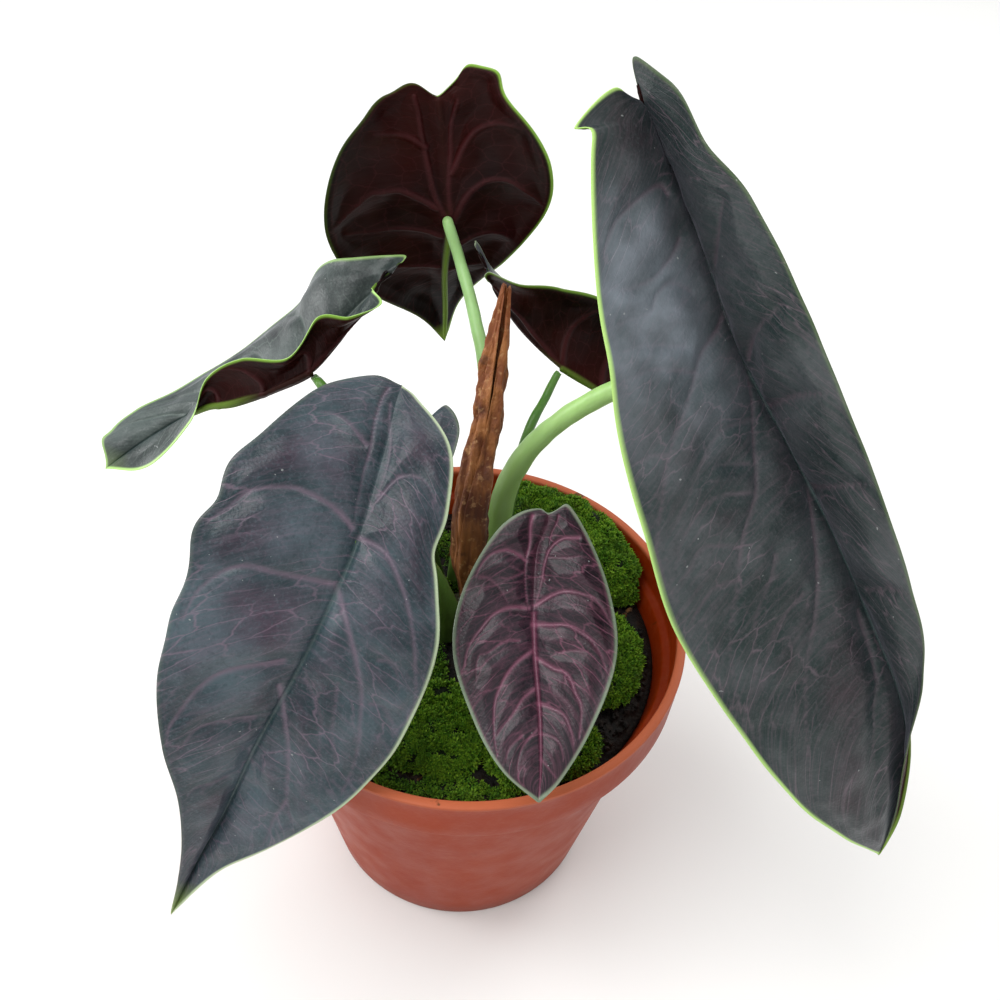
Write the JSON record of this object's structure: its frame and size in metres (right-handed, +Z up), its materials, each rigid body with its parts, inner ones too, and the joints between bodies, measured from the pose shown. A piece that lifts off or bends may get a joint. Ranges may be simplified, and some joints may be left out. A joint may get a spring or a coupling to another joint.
{
  "type": "potted plant",
  "caption": "Small potted foliage plant: dark leathery arrow-shaped leaves on pale stalks, rising from moss and soil in a round tapered plastic nursery pot.",
  "frame": {"origin": "centre of the pot's flat base, on the floor", "axes": "+Z up, the front of the plant at -Y, +X to the plant's right as seen from the front"},
  "size_m": [0.2128, 0.1528, 0.2421],
  "materials": {
    "pot_plastic": "satin terracotta-coloured plastic",
    "potting_mix": "moist dark potting mix",
    "crown": "dull dark green-brown stem tissue",
    "moss": "matt living moss",
    "leaf_blade": "satin dark leaf",
    "petiole": "smooth pale green stalk",
    "dried_sheath": "dry brown papery"
  },
  "bodies": {
    "root": {"pot": "pot_plastic", "soil": "potting_mix", "crown": "crown", "moss_back_left": "moss", "moss_back_right": "moss", "moss_front": "moss", "moss_front_right": "moss", "moss_right": "moss", "leaf_back_right": "leaf_blade", "petiole_back_right": "petiole", "leaf_back_tall": "leaf_blade", "petiole_back_tall": "petiole", "leaf_behind": "leaf_blade", "petiole_behind": "petiole", "leaf_front_left": "leaf_blade", "petiole_front_left": "petiole", "leaf_front_small": "leaf_blade", "petiole_front_small": "petiole", "leaf_left_curled": "leaf_blade", "petiole_left_curled": "petiole", "leaf_right_large": "leaf_blade", "petiole_right_large": "petiole", "dried_sheath": "dried_sheath"}
  },
  "joints": []
}
